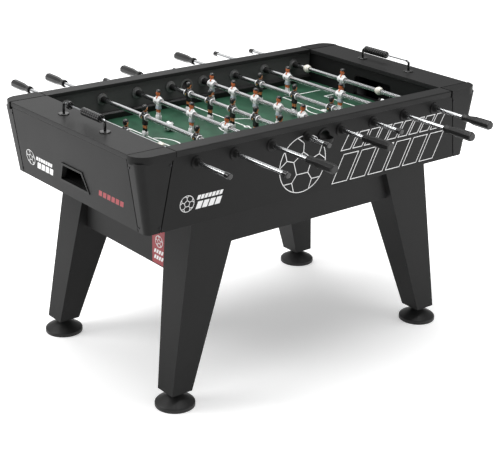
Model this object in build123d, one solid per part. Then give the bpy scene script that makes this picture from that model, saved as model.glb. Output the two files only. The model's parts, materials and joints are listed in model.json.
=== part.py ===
from build123d import *
import os

# Foosball table with eight rods. Millimetres, +Z up, origin on the floor under the table's centre.
# +X runs along the field, from the left goal to the right goal. -Y is the front long side.

# Field and rods
ROD_NUMBER = 8
ROD_PITCH = 150.0
END_MARGIN = 12.0  # from half a pitch past the last rod to the end wall
FIELD_WIDTH = 732.0
FIELD_DEPTH = 129.5  # from the top of the rails down to the field
ROD_ABOVE_FIELD = 78.0
ROD_RADIUS = 8.0
ROD_WALL = 2.5
RUNNING_FIT = 0.05  # radial clearance of a shaft that turns or slides in its bore
ASSEMBLY_FIT = 0.1  # radial clearance of what is pushed on and stays

# Cabinet
TABLE_HEIGHT = 906.0
BODY_DEPTH = 260.0  # from the top of the rails down to the bottom edge of the panels
RAIL_HEIGHT = 20.0
RAIL_PLATE = 13.0
RAIL_ROUND = 5.0
RAIL_OVERHANG = 11.0
DECK_THICKNESS = 16.0
DECK_OVERHANG = 7.0
PANEL_THICKNESS = 15.0
SIDE_CAVITY = 11.5  # between the inner wall and the side panel's top edge
END_CAVITY = 100.5
SIDE_STEP = 2.5  # the side panel's top edge lies this far inside the rail
SIDE_LEAN = 12.5  # and its bottom edge this far further in
END_STEP = 1.0
END_LEAN = 38.0
INNER_THICKNESS = 18.0
INNER_BELOW_FIELD = 32.0
FIELD_THICKNESS = 12.0
BASE_THICKNESS = 12.0
BOARD_GAP = 0.5  # open joint between two boards that meet
EDGING_WIDTH = 13.0
EDGING_HEIGHT = 26.0
EDGING_BEVEL = 6.0

# Corner covers
COVER_WALL = 5.0
COVER_LIP = 26.0
COVER_PROUD = 3.0
COVER_ROUND = 56.0
COVER_COLUMN_ROUND = 0.45  # the column's rounding as a share of its width on the end
COVER_SIDE_TOP = 8.0  # the long side's seam lies this far outside the opening at the top
COVER_SIDE_BOTTOM = 53.5  # width of the cover on the long side at the bottom
COVER_END_TOP = 5.0  # the end's seam lies this far inside the opening's edge at the top
COVER_END_BOTTOM = 46.0
SCREW_INSET = 7.0
SCREW_DROP = 16.0
SCREW_HEAD_RADIUS = 3.6
SCREW_HEAD_HEIGHT = 1.6
SCREW_RADIUS = 2.0
SCREW_LENGTH = 9.0

# Goals, ball return and ball entry
GOAL_WIDTH = 200.0
GOAL_HEIGHT = 78.0
GOAL_ROUND = 12.0
CHUTE_WALL = 5.0
CHUTE_GAP = 5.0  # between the chute and the end panel
CHUTE_SIDE = 15.0  # from the goal's post to the chute's cheek
TRAY_RISE = 44.0  # from the base board up to the ball tray
RETURN_TOP_WIDTH = 110.0
RETURN_BOTTOM_WIDTH = 165.0
RETURN_HEIGHT = 55.0
BEZEL_RIM = 8.0
BEZEL_PROUD = 3.0
BEZEL_WALL = 3.0
ENTRY_ABOVE_FIELD = 67.0
ENTRY_RADIUS = 22.0
ENTRY_WALL = 4.0
ENTRY_RIM = 29.0
ENTRY_RIM_THICKNESS = 2.5
SCOOP_RADIUS = 27.0
SCOOP_REACH = 8.0
BALL_RADIUS = 18.0
BALL_PLACE = (-1.72, 115.0)  # lane counted in pitches from the centre, and distance along Y

# Bearings
HOUSING_RADIUS = 13.0
FLANGE_RADIUS = 21.0
INNER_FLANGE = 5.0
OUTER_FLANGE = 2.0
INNER_NOSE = 30.0
OUTER_NOSE = 20.0
INNER_TIP_RADIUS = 11.2
OUTER_TIP_RADIUS = 10.9
BUSH_RADIUS = 9.5
BUSH_COLLAR = 2.7
BUSH_COLLAR_RADIUS = 11.0
BUSH_END_GAP = 0.3

# Rods: figures, free travel each way, and the gap left to the bearing at the end of the travel
KEEPER = (1, 110.0, 4.5)
PAIR = (2, 160.0, 8.0)
THREE = (3, 100.0, 18.0)
FIVE = (5, 56.0, 2.0)
LINES = [KEEPER, PAIR, THREE, FIVE, FIVE, THREE, PAIR, KEEPER]
GRIP_SIDE = [1, 1, -1, 1, -1, 1, -1, -1]  # 1 back, -1 front
REST_SHIFT = [-15.0, -57.0, 27.0, -11.0, 46.0, 5.0, 71.0, 75.0]
HAND_SPACE = 85.0
GRIP_LENGTH = 123.0
GRIP_RADIUS = 16.5
GRIP_WAIST = 11.4
GRIP_COLLAR = 14.2
GRIP_SIDES = 8
CAP_LENGTH = 22.0
CAP_RADIUS = 10.0
CAP_WALL = 3.0
STOP_MARGIN = 0.5
KEEPER_STOP_RADIUS = 16.5

# Player figures, measured from the rod's axis
FIGURE_TOP = 43.0
FIGURE_FOOT_GAP = 8.0  # between the feet and the field
FIGURE_SHOULDER = 30.0
FIGURE_CHEST = 17.0
HEAD_RADIUS = 10.5
NECK_RADIUS = 5.0
BOSS_RADIUS = 12.5
LEG_WIDTH = 20.0
LEG_DEPTH = 12.0
SHOE_HEIGHT = 20.0
SHOE_DEPTH = 24.0
SHOE_WIDTH = 22.0

# Score counters
POST_SPREAD = 250.0
POST_RADIUS = 4.5
POST_BASE_RADIUS = 19.0
POST_BASE_HEIGHT = 4.0
RAIL_RISE = 39.0
SCORE_RAIL_RADIUS = 2.6
POST_BEND = 10.0
POST_ARM = 4.0
BEAD_RADIUS = 13.5
BEAD_THICKNESS = 11.4
BEAD_GAP = 0.3
BEAD_BORE = 3.0
BEAD_NUMBER = 10
LEFT_SINGLE_START = 20.0  # free rail between the left counter's single bead and its post
LEFT_GROUP_END = 8.0  # free rail between the left counter's nine beads and their post

# Base
LEG_SIDE_WALL = 12.0
LEG_TOP = (192.0, 143.0)
LEG_TOP_INSET = (185.5, 18.0)  # from the body's bottom edge to the leg's outer faces
LEG_FOOT = (81.0, 83.0)
LEG_FOOT_INSET = (97.0, 3.0)
LEG_END_Z = 56.0
LEG_PLUG = 15.0
APRON_THICKNESS = 15.0
APRON_GAP = 4.0
SIDE_APRON_DEPTH = 111.0
SIDE_APRON_INSET = 20.0
END_APRON_DEPTH = 214.0
END_APRON_INSET = 4.0
FOOT_RADIUS = 68.0
FOOT_RIM = 13.0
FOOT_STEP = 5.0
FOOT_CONE_TOP = 42.0
FOOT_NECK_RADIUS = 15.0
STUD_RADIUS = 6.0
STUD_LENGTH = 30.0
STUD_ROOM = 6.0

# Worked out from the sizes above
field_length = ROD_NUMBER * ROD_PITCH + 2 * END_MARGIN
half_field = (field_length / 2, FIELD_WIDTH / 2)
opening = (half_field[0] - DECK_OVERHANG, half_field[1] - RAIL_OVERHANG)
end_build_up = INNER_THICKNESS + END_CAVITY + PANEL_THICKNESS + END_STEP
side_build_up = INNER_THICKNESS + SIDE_CAVITY + PANEL_THICKNESS + SIDE_STEP
outer = (half_field[0] + end_build_up, half_field[1] + side_build_up)
field_z = TABLE_HEIGHT - FIELD_DEPTH
rod_z = field_z + ROD_ABOVE_FIELD
bottom_z = TABLE_HEIGHT - BODY_DEPTH
side_top_z = TABLE_HEIGHT - RAIL_HEIGHT
end_top_z = TABLE_HEIGHT - DECK_THICKNESS
side_top_y = outer[1] - SIDE_STEP
side_bottom_y = side_top_y - SIDE_LEAN
end_top_x = outer[0] - END_STEP
end_bottom_x = end_top_x - END_LEAN
inner_bottom_z = field_z - INNER_BELOW_FIELD
nose_in = half_field[1] - INNER_NOSE - BUSH_COLLAR - BUSH_END_GAP
nose_out = side_top_y + OUTER_NOSE
cover_side_seam = (opening[0] + COVER_SIDE_TOP, end_bottom_x - COVER_SIDE_BOTTOM)
cover_end_seam = (opening[1] - COVER_END_TOP, side_bottom_y - COVER_END_BOTTOM)
cover_lip_z = TABLE_HEIGHT - COVER_LIP
entry_z = field_z + ENTRY_ABOVE_FIELD
tray_z = bottom_z + BASE_THICKNESS + TRAY_RISE
figure_foot = ROD_ABOVE_FIELD - FIGURE_FOOT_GAP
counter_x = (opening[0] + outer[0]) / 2
rod_x = [(k - (ROD_NUMBER - 1) / 2) * ROD_PITCH for k in range(ROD_NUMBER)]


def side_y(z):
    """Y of the side panel's outer face at height z."""
    return side_bottom_y + SIDE_LEAN * (z - bottom_z) / (side_top_z - bottom_z)


def end_x(z):
    """X of the end panel's outer face at height z."""
    return end_bottom_x + END_LEAN * (z - bottom_z) / (end_top_z - bottom_z)


def write(name, *solids):
    """Write one node: its solids stay separate."""
    pieces = [piece for solid in solids for piece in solid.solids()]
    export_step(pieces[0] if len(pieces) == 1 else Compound(pieces), f"parts/{name}.step")


def outline(*points):
    return make_face(Polyline(*points, close=True))


def prism_x(points, low, high):
    """Solid whose section in Y and Z is a polygon, from x = low to x = high."""
    return extrude(Plane.YZ.offset(low) * outline(*points), high - low)


def prism_y(points, low, high):
    """Solid whose section in X and Z is a polygon, from y = low to y = high."""
    face = Plane.XZ.offset(-low) * outline(*points)
    return extrude(face, -(high - low))


def block(low, high):
    size = [b - a for a, b in zip(low, high)]
    middle = [(a + b) / 2 for a, b in zip(low, high)]
    return Pos(*middle) * Box(*size)


def rod_along_y(radius, low, high, x=0.0, z=0.0):
    return Pos(x, (low + high) / 2, z) * Rot(90, 0, 0) * Cylinder(radius, high - low)


def turned_y(points, x, z):
    """Ring turned about an axis along Y from (radius, y) points."""
    face = make_face(Polyline(*[(radius, y, 0) for radius, y in points], close=True))
    return Pos(x, 0, z) * revolve(face, Axis.Y)


def turned_z(points, x, y):
    """Ring turned about an upright axis from (radius, z) points."""
    face = make_face(Polyline(*[(radius, 0, z) for radius, z in points], close=True))
    return Pos(x, y, 0) * revolve(face, Axis.Z)


def flip_x(shape):
    return mirror(shape, Plane.YZ)


def flip_y(shape):
    return mirror(shape, Plane.XZ)


def four_corners(shape):
    """The shape at +X +Y and its three mirror images, named by their places."""
    return {
        "right_back": shape,
        "left_back": flip_x(shape),
        "right_front": flip_y(shape),
        "left_front": flip_x(flip_y(shape)),
    }


# Screws

screws = []
screw_holes = {}


def add_screw(owner, point, normal):
    """A pan-head screw whose head sits on a face, and the hole it needs in its owner."""
    seat = Plane(origin=point, z_dir=normal)
    head = Pos(0, 0, SCREW_HEAD_HEIGHT / 2) * Cylinder(SCREW_HEAD_RADIUS, SCREW_HEAD_HEIGHT)
    shank = Pos(0, 0, -SCREW_LENGTH / 2) * Cylinder(SCREW_RADIUS, SCREW_LENGTH)
    depth = SCREW_LENGTH + 1.0
    hole = Pos(0, 0, -depth / 2) * Cylinder(SCREW_RADIUS + ASSEMBLY_FIT, depth)
    screws.append(seat * (head + shank))
    screw_holes.setdefault(owner, []).append(seat * hole)


# Cabinet boards


def side_panel():
    """Back long panel: leans in towards the bottom, and its ends follow the corner covers."""
    inside = PANEL_THICKNESS
    section = [
        (side_bottom_y, bottom_z),
        (side_top_y, side_top_z),
        (side_top_y - inside, side_top_z),
        (side_bottom_y - inside, bottom_z),
    ]
    panel = prism_x(section, -outer[0], outer[0])
    seam_top, seam_bottom = [seam - BOARD_GAP for seam in cover_side_seam]
    corners = [(seam_bottom, bottom_z), (seam_top, side_top_z), (-seam_top, side_top_z), (-seam_bottom, bottom_z)]
    panel = panel & prism_y(corners, 0, outer[1])
    for x in rod_x:
        panel = panel - rod_along_y(HOUSING_RADIUS + ASSEMBLY_FIT, half_field[1], outer[1], x, rod_z)
    hole = ENTRY_RADIUS + ENTRY_WALL + ASSEMBLY_FIT
    return panel - rod_along_y(hole, half_field[1], outer[1], 0, entry_z)


def return_face(grow):
    """Outline in Y and Z of the ball return, moved out by grow on every side."""
    low, high = tray_z - grow, tray_z + RETURN_HEIGHT + grow
    bottom, top = RETURN_BOTTOM_WIDTH / 2 + grow, RETURN_TOP_WIDTH / 2 + grow
    return [(-bottom, low), (bottom, low), (top, high), (-top, high)]


def leaning_slab(inner_offset, outer_offset, half_width):
    """Slab parallel to the right end panel between two offsets from its outer face."""
    section = [
        (end_bottom_x + inner_offset, bottom_z),
        (end_bottom_x + outer_offset, bottom_z),
        (end_top_x + outer_offset, end_top_z),
        (end_top_x + inner_offset, end_top_z),
    ]
    return prism_y(section, -half_width, half_width)


def end_panel():
    """Right end panel with the ball return's hole."""
    panel = leaning_slab(-PANEL_THICKNESS, 0, outer[1])
    seam_top, seam_bottom = [seam - BOARD_GAP for seam in cover_end_seam]
    corners = [(seam_bottom, bottom_z), (seam_top, end_top_z), (-seam_top, end_top_z), (-seam_bottom, bottom_z)]
    panel = panel & prism_x(corners, 0, outer[0] + END_LEAN)
    return panel - prism_x(return_face(BEZEL_WALL + ASSEMBLY_FIT), half_field[0], outer[0] + END_LEAN)


def inner_side():
    """Back wall of the playing space, with the rods' holes and the ball entry's."""
    y = half_field[1]
    low = (-half_field[0] - INNER_THICKNESS, y, inner_bottom_z)
    high = (half_field[0] + INNER_THICKNESS, y + INNER_THICKNESS, TABLE_HEIGHT - RAIL_PLATE)
    board = block(low, high)
    for x in rod_x:
        board = board - rod_along_y(HOUSING_RADIUS + ASSEMBLY_FIT, y - 1, outer[1], x, rod_z)
    return board - rod_along_y(ENTRY_RADIUS + ENTRY_WALL + ASSEMBLY_FIT, y - 1, outer[1], 0, entry_z)


def goal_mouth(depth_low, depth_high):
    """Solid that fills the right goal's mouth, rounded at its top corners."""
    mouth = block((depth_low, -GOAL_WIDTH / 2, field_z), (depth_high, GOAL_WIDTH / 2, field_z + GOAL_HEIGHT))
    top_edges = mouth.edges().filter_by(Axis.X).group_by(Axis.Z)[-1]
    return fillet(top_edges, GOAL_ROUND)


def inner_end():
    """Right wall of the playing space, with the goal's mouth."""
    x, y = half_field[0], half_field[1] - BOARD_GAP
    board = block((x, -y, inner_bottom_z), (x + INNER_THICKNESS, y, end_top_z))
    return board - goal_mouth(x - 1, x + INNER_THICKNESS + 1)


def side_rail():
    """Back long rail: a plate over both boards with a thicker outer part and a rounded outer edge."""
    plate_z = TABLE_HEIGHT - RAIL_PLATE
    step_y = half_field[1] + INNER_THICKNESS + BOARD_GAP
    section = [
        (opening[1], plate_z),
        (step_y, plate_z),
        (step_y, side_top_z),
        (outer[1], side_top_z),
        (outer[1], TABLE_HEIGHT),
        (opening[1], TABLE_HEIGHT),
    ]
    end = opening[0] - BOARD_GAP / 2
    rail = prism_x(section, -end, end)
    return fillet(rail.edges().filter_by(Axis.X).group_by(Axis.Z)[-1].sort_by(Axis.Y)[-1], RAIL_ROUND)


def end_deck():
    """Right end deck."""
    y = opening[1] - BOARD_GAP / 2
    return block((opening[0], -y, end_top_z), (outer[0], y, TABLE_HEIGHT))


def cover_outline(low, high, radius, z):
    """Rectangle from low to high in X and Y with its outer corner rounded, at height z."""
    (x0, y0), (x1, y1) = low, high
    slope = radius * (1 - 0.5**0.5)
    edges = [
        Line((x0, y0), (x1, y0)),
        Line((x1, y0), (x1, y1 - radius)),
        ThreePointArc((x1, y1 - radius), (x1 - slope, y1 - slope), (x1 - radius, y1)),
        Line((x1 - radius, y1), (x0, y1)),
        Line((x0, y1), (x0, y0)),
    ]
    return Pos(0, 0, z) * make_face(Curve() + edges)


def cover_seams(z):
    """X of the cover's seam on the long side and Y of its seam on the end, at height z."""
    seams = []
    for (high, low), top_z in ((cover_side_seam, side_top_z), (cover_end_seam, end_top_z)):
        seams.append(low + (high - low) * (z - bottom_z) / (top_z - bottom_z))
    return seams


def cover_column(wall, low, high):
    """Tapering column of the corner cover, or with a wall the room inside it."""
    faces = []
    for z in (low, high):
        seams = cover_seams(z)
        corner = (end_x(z), side_y(z))
        radius = COVER_COLUMN_ROUND * (corner[1] - seams[1]) - wall
        inside = [edge - wall for edge in corner]
        faces.append(cover_outline([edge - (wall > 0) for edge in seams], inside, radius, z))
    return loft(faces, ruled=True)


def corner_cover():
    """Moulded cover of the back right corner: a tapering column under a rounded cap with a lip."""
    seam = BOARD_GAP / 2
    cap_high = (outer[0] + COVER_PROUD, outer[1] + COVER_PROUD)
    cap = extrude(cover_outline([edge + seam for edge in opening], cap_high, COVER_ROUND, cover_lip_z), COVER_LIP)
    room_high = [edge - COVER_WALL for edge in cap_high]
    room = cover_outline((0, 0), room_high, COVER_ROUND - COVER_WALL, cover_lip_z)
    cap = cap - extrude(room, COVER_LIP - COVER_WALL)
    column = cover_column(0, bottom_z, cover_lip_z + COVER_WALL)
    column = column - cover_column(COVER_WALL, bottom_z - 1, cover_lip_z + COVER_WALL + 1)
    cover = cap + column
    reach = outer[0] + END_LEAN
    beside_deck = block((0, 0, cover_lip_z), (reach, opening[1] + seam, TABLE_HEIGHT))
    beside_rail = block((0, 0, cover_lip_z), (opening[0] + seam, reach, TABLE_HEIGHT))
    cover = cover - beside_deck - beside_rail
    for hole in screw_holes["cover"]:
        cover = cover - hole
    return cover


def cover_screws():
    """Two screws beside each seam of the back right corner cover."""
    side_normal = Vector(0, side_top_z - bottom_z, -SIDE_LEAN)
    end_normal = Vector(end_top_z - bottom_z, 0, -END_LEAN)
    for z in (bottom_z + SCREW_DROP, cover_lip_z - SCREW_DROP):
        x, y = [edge + SCREW_INSET for edge in cover_seams(z)]
        add_screw("cover", (x, side_y(z), z), side_normal)
        add_screw("cover", (end_x(z), y, z), end_normal)


def edging():
    """Black bevelled strip along the back edge of the field."""
    y, z = half_field[1], field_z
    section = [
        (y, z),
        (y, z + EDGING_HEIGHT),
        (y - EDGING_WIDTH + EDGING_BEVEL, z + EDGING_HEIGHT),
        (y - EDGING_WIDTH, z + EDGING_HEIGHT - EDGING_BEVEL),
        (y - EDGING_WIDTH, z),
    ]
    return prism_x(section, -half_field[0] + BOARD_GAP, half_field[0] - BOARD_GAP)


def goal_box():
    """Chute behind the right goal: front wall with the goal's mouth, two cheeks and the ball tray."""
    x = half_field[0] + INNER_THICKNESS + BOARD_GAP
    far = end_x(tray_z - CHUTE_WALL) - PANEL_THICKNESS - CHUTE_GAP
    half = GOAL_WIDTH / 2 + CHUTE_SIDE
    chute = block((x, -half, tray_z - CHUTE_WALL), (far, half, end_top_z - BOARD_GAP))
    inside = half - CHUTE_WALL
    chute = chute - block((x + CHUTE_WALL, -inside, tray_z), (far + 1, inside, end_top_z))
    return chute - goal_mouth(x - 1, x + CHUTE_WALL + 1)


def return_bezel():
    """Rim of the ball return: a proud frame on the end panel and a lining through it."""
    reach = outer[0] + END_LEAN
    rim = prism_x(return_face(BEZEL_RIM), half_field[0], reach) & leaning_slab(0, BEZEL_PROUD, outer[1])
    lining = prism_x(return_face(BEZEL_WALL), half_field[0], reach)
    lining = lining & leaning_slab(-PANEL_THICKNESS - 1, BEZEL_PROUD, outer[1])
    return rim + lining - prism_x(return_face(0), half_field[0], reach)


def ball_entry():
    """Back ball entry: a tube through both boards, a rim at each end and a scoop outside."""
    tube = ENTRY_RADIUS + ENTRY_WALL
    inside = half_field[1] - ENTRY_RIM_THICKNESS
    profile = [
        (ENTRY_RADIUS, inside),
        (ENTRY_RIM, inside),
        (ENTRY_RIM, half_field[1]),
        (tube, half_field[1]),
        (tube, side_top_y),
        (ENTRY_RIM, side_top_y),
        (ENTRY_RIM, side_top_y + ENTRY_RIM_THICKNESS),
        (ENTRY_RADIUS, side_top_y + ENTRY_RIM_THICKNESS),
    ]
    entry = turned_y(profile, 0, entry_z)
    middle = Pos(0, side_top_y + SCOOP_REACH, entry_z)
    ball = middle * Sphere(SCOOP_RADIUS) - middle * Sphere(SCOOP_RADIUS - ENTRY_WALL + 1)
    reach = side_top_y + SCOOP_REACH + SCOOP_RADIUS
    lower_half = block((-ENTRY_RIM, side_top_y + 1, entry_z - ENTRY_RIM), (ENTRY_RIM, reach, entry_z))
    return entry + (ball & lower_half)


def housing(x):
    """Back bearing housing of one rod, with its noses and flanges."""
    bore = BUSH_RADIUS + RUNNING_FIT
    y = half_field[1]
    profile = [
        (bore, y - INNER_NOSE),
        (INNER_TIP_RADIUS, y - INNER_NOSE),
        (HOUSING_RADIUS, y - INNER_FLANGE),
        (FLANGE_RADIUS, y - INNER_FLANGE + 1),
        (FLANGE_RADIUS, y),
        (HOUSING_RADIUS, y),
        (HOUSING_RADIUS, side_top_y),
        (FLANGE_RADIUS, side_top_y),
        (FLANGE_RADIUS, side_top_y + OUTER_FLANGE),
        (HOUSING_RADIUS, side_top_y + OUTER_FLANGE),
        (OUTER_TIP_RADIUS, nose_out),
        (bore, nose_out),
    ]
    return turned_y(profile, x, rod_z)


def bush(x):
    """Back sleeve that turns in the housing and lets the rod slide."""
    bore = ROD_RADIUS + RUNNING_FIT
    collar_end = nose_in + BUSH_COLLAR
    profile = [
        (bore, nose_in),
        (BUSH_COLLAR_RADIUS, nose_in),
        (BUSH_COLLAR_RADIUS, collar_end),
        (BUSH_RADIUS, collar_end),
        (BUSH_RADIUS, nose_out - 1),
        (bore, nose_out - 1),
    ]
    return turned_y(profile, x, rod_z)


# Rods


def grip(end):
    """Eight-sided grip along +Y whose outer end is at y = end; its bore takes the rod's end."""
    start = end - GRIP_LENGTH
    stations = [
        (start, GRIP_COLLAR),
        (start + 14, GRIP_COLLAR),
        (start + 24, GRIP_WAIST),
        (start + 52, 0.95 * GRIP_RADIUS),
        (end - 5, GRIP_RADIUS),
        (end, 0.85 * GRIP_RADIUS),
    ]
    turn = 180 / GRIP_SIDES
    faces = [Plane.XZ.offset(-y) * Rot(0, 0, turn) * RegularPolygon(r, GRIP_SIDES) for y, r in stations]
    body = loft(faces, ruled=True)
    return body - rod_along_y(ROD_RADIUS + ASSEMBLY_FIT, start - 1, end - CAP_WALL)


def end_cap(end):
    """Rounded cap along -Y whose outer end is at y = -end."""
    cap = rod_along_y(CAP_RADIUS, -end, -end + CAP_LENGTH)
    cap = fillet(cap.edges().sort_by(Axis.Y)[0], CAP_WALL)
    return cap - rod_along_y(ROD_RADIUS + ASSEMBLY_FIT, -end + CAP_WALL, -end + CAP_LENGTH + 1)


def figure():
    """One player on the rod's axis, facing +X, feet down."""
    chest_top = FIGURE_TOP - 2 * HEAD_RADIUS
    shoe_top = SHOE_HEIGHT - figure_foot
    hip = -2 * LEG_DEPTH
    torso_half = (FIGURE_CHEST / 2, FIGURE_SHOULDER / 2 - 2)
    torso = block((-torso_half[0], -torso_half[1], -BOSS_RADIUS), (*torso_half, chest_top - 3))
    boss = rod_along_y(BOSS_RADIUS, -FIGURE_SHOULDER / 2, FIGURE_SHOULDER / 2)
    neck = Pos(0, 0, chest_top) * Cylinder(NECK_RADIUS, 10)
    head = Pos(0, 0, FIGURE_TOP - HEAD_RADIUS) * Sphere(HEAD_RADIUS)
    shorts_half = (LEG_DEPTH / 2 + 1.5, LEG_WIDTH / 2 + 2)
    shorts = block((-shorts_half[0], -shorts_half[1], hip - 6), (*shorts_half, -BOSS_RADIUS + 3))
    legs = block((-LEG_DEPTH / 2, -LEG_WIDTH / 2, shoe_top - 1), (LEG_DEPTH / 2, LEG_WIDTH / 2, hip))
    shoe = block((-SHOE_DEPTH / 2, -SHOE_WIDTH / 2, -figure_foot), (SHOE_DEPTH / 2, SHOE_WIDTH / 2, shoe_top))
    shoe = chamfer(shoe.edges().filter_by(Axis.Y).group_by(Axis.Z)[-1], 4)
    body = torso + boss + neck + head + shorts + legs + shoe
    return body - rod_along_y(ROD_RADIUS + ASSEMBLY_FIT, -FIGURE_SHOULDER, FIGURE_SHOULDER)


def last_place(line, half_width):
    """Distance from the rod's middle to the outermost figure or stop of that half width."""
    _, travel, gap = line
    return nose_in - half_width - travel - gap


def figure_places(line):
    number = line[0]
    if number == 1:
        return [0]
    last = last_place(line, FIGURE_SHOULDER / 2)
    return [last * (2 * n / (number - 1) - 1) for n in range(number)]


def write_rod(index):
    """The four nodes of one rod at its rest position."""
    line, side = LINES[index], GRIP_SIDE[index]
    travel = line[1]
    at = Pos(rod_x[index], REST_SHIFT[index], rod_z)
    grip_end = nose_out + travel + HAND_SPACE + GRIP_LENGTH
    cap_end = nose_out + travel + STOP_MARGIN + CAP_LENGTH
    tube = rod_along_y(ROD_RADIUS, -cap_end + CAP_WALL, grip_end - CAP_WALL)
    tube = tube - rod_along_y(ROD_RADIUS - ROD_WALL, -cap_end, grip_end)
    fittings = [grip(grip_end), end_cap(cap_end)]
    if side < 0:
        tube, fittings = flip_y(tube), [flip_y(piece) for piece in fittings]
    facing = Rot(0, 0, 0 if side > 0 else 180)
    players = [Pos(0, y, 0) * facing * player for y in figure_places(line)]
    if line is KEEPER:
        last = last_place(line, KEEPER_STOP_RADIUS)
        for y in (-last, last):
            stop = Pos(0, y, 0) * Sphere(KEEPER_STOP_RADIUS)
            bore = ROD_RADIUS + ASSEMBLY_FIT
            players.append(stop - rod_along_y(bore, y - 2 * KEEPER_STOP_RADIUS, y + 2 * KEEPER_STOP_RADIUS))
    name = index + 1
    write(f"rod_{name}", at * tube)
    write(f"players_{name}", *[at * piece for piece in players])
    write(f"grip_{name}", *[at * piece for piece in fittings])
    sleeve = bush(rod_x[index])
    write(f"bushes_{name}", sleeve, flip_y(sleeve))


# Score counters


def score_rail():
    """Right score counter's bent posts, thin rail and round bases."""
    x = counter_x
    half, top = POST_SPREAD / 2, TABLE_HEIGHT + RAIL_RISE
    arm = half - POST_BEND - POST_ARM
    up = Line((x, half, TABLE_HEIGHT), (x, half, top - POST_BEND))
    slope = POST_BEND * (1 - 0.5**0.5)
    turn = ThreePointArc((x, half, top - POST_BEND), (x, half - slope, top - slope), (x, half - POST_BEND, top))
    across = Line((x, half - POST_BEND, top), (x, arm, top))
    path = Curve() + [up, turn, across]
    post = sweep(Pos(x, half, TABLE_HEIGHT) * Circle(POST_RADIUS), path=path)
    base = Pos(x, half, TABLE_HEIGHT + POST_BASE_HEIGHT / 2) * Cylinder(POST_BASE_RADIUS, POST_BASE_HEIGHT)
    base = chamfer(base.edges().group_by(Axis.Z)[-1], 2)
    side = post + base
    return side + flip_y(side) + rod_along_y(SCORE_RAIL_RADIUS, -arm - 1, arm + 1, x, top)


def beads(x, top_y, number):
    """A run of beads on a counter's rail, from y = top_y towards -Y."""
    row = []
    z = TABLE_HEIGHT + RAIL_RISE
    for n in range(number):
        high = top_y - n * (BEAD_THICKNESS + BEAD_GAP)
        bead = rod_along_y(BEAD_RADIUS, high - BEAD_THICKNESS, high, x, z)
        bead = chamfer(bead.edges().filter_by(GeomType.CIRCLE), 1.5)
        row.append(bead - rod_along_y(BEAD_BORE, high - BEAD_THICKNESS - 1, high + 1, x, z))
    return row


# Base


def leg_face(z, shrink=0.0):
    """Section of the back right leg at height z."""
    down = (bottom_z - z) / (bottom_z - LEG_END_Z)
    outer_top = (end_bottom_x - LEG_TOP_INSET[0], side_bottom_y - LEG_TOP_INSET[1])
    outer_end = (end_bottom_x - LEG_FOOT_INSET[0], side_bottom_y - LEG_FOOT_INSET[1])
    size = [top + (end - top) * down - 2 * shrink for top, end in zip(LEG_TOP, LEG_FOOT)]
    corner = [top + (end - top) * down - shrink for top, end in zip(outer_top, outer_end)]
    middle = [corner[i] - size[i] / 2 for i in (0, 1)]
    return Pos(*middle, z) * Rectangle(*size)


def leg_limits(z):
    box = leg_face(z).bounding_box()
    return box.min.X, box.min.Y, box.max.X, box.max.Y


def foot_place():
    low_x, low_y, high_x, high_y = leg_limits(LEG_END_Z)
    return (low_x + high_x) / 2, (low_y + high_y) / 2


def leg():
    """Back right leg: four boards that taper and splay outwards, closed at the foot."""
    body = loft([leg_face(bottom_z), leg_face(LEG_END_Z)], ruled=True)
    room = loft([leg_face(bottom_z, LEG_SIDE_WALL), leg_face(LEG_END_Z + LEG_PLUG, LEG_SIDE_WALL)], ruled=True)
    x, y = foot_place()
    stud_hole = Pos(x, y, LEG_END_Z) * Cylinder(STUD_RADIUS + RUNNING_FIT, 2 * (STUD_LENGTH + STUD_ROOM))
    body = body - room - stud_hole
    for hole in screw_holes["leg"]:
        body = body - hole
    return body


def leg_screws():
    """Screws in the two inner faces of the back right leg, close to its outer corners."""
    top, end = leg_limits(bottom_z), leg_limits(LEG_END_Z)
    height = bottom_z - LEG_END_Z
    for down in (0.34, 0.66, 0.94):
        low_x, low_y, high_x, high_y = [a + (b - a) * down for a, b in zip(top, end)]
        z = bottom_z - height * down
        add_screw("leg", (low_x, high_y - SCREW_INSET, z), Vector(-height, 0, -(end[0] - top[0])))
        add_screw("leg", (high_x - SCREW_INSET, low_y, z), Vector(0, -height, -(end[1] - top[1])))


def side_apron():
    """Back apron between the two back legs; its ends follow the legs' taper."""
    low_z = bottom_z - SIDE_APRON_DEPTH
    top_x, low_x = leg_limits(bottom_z)[0] - APRON_GAP, leg_limits(low_z)[0] - APRON_GAP
    y = leg_limits(bottom_z)[3] - SIDE_APRON_INSET
    face = [(-low_x, low_z), (low_x, low_z), (top_x, bottom_z), (-top_x, bottom_z)]
    return prism_y(face, y - APRON_THICKNESS, y)


def end_apron():
    """Right apron between the two right legs."""
    low_z = bottom_z - END_APRON_DEPTH
    top_y, low_y = leg_limits(bottom_z)[1] - APRON_GAP, leg_limits(low_z)[1] - APRON_GAP
    x = leg_limits(bottom_z)[2] - END_APRON_INSET
    face = [(-low_y, low_z), (low_y, low_z), (top_y, bottom_z), (-top_y, bottom_z)]
    return prism_x(face, x - APRON_THICKNESS, x)


def foot():
    """Levelling foot of the back right leg: a wide dished disc on a threaded stud."""
    profile = [
        (0, 0),
        (FOOT_RADIUS, 0),
        (FOOT_RADIUS, FOOT_RIM),
        (FOOT_RADIUS - FOOT_STEP, FOOT_RIM + FOOT_STEP),
        (FOOT_NECK_RADIUS + FOOT_STEP, FOOT_CONE_TOP),
        (FOOT_NECK_RADIUS, FOOT_CONE_TOP + FOOT_STEP),
        (FOOT_NECK_RADIUS, LEG_END_Z),
        (STUD_RADIUS, LEG_END_Z),
        (STUD_RADIUS, LEG_END_Z + STUD_LENGTH),
        (0, LEG_END_Z + STUD_LENGTH),
    ]
    return turned_z(profile, *foot_place())


# Build and write every node

os.makedirs("parts", exist_ok=True)
cover_screws()
leg_screws()

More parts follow.
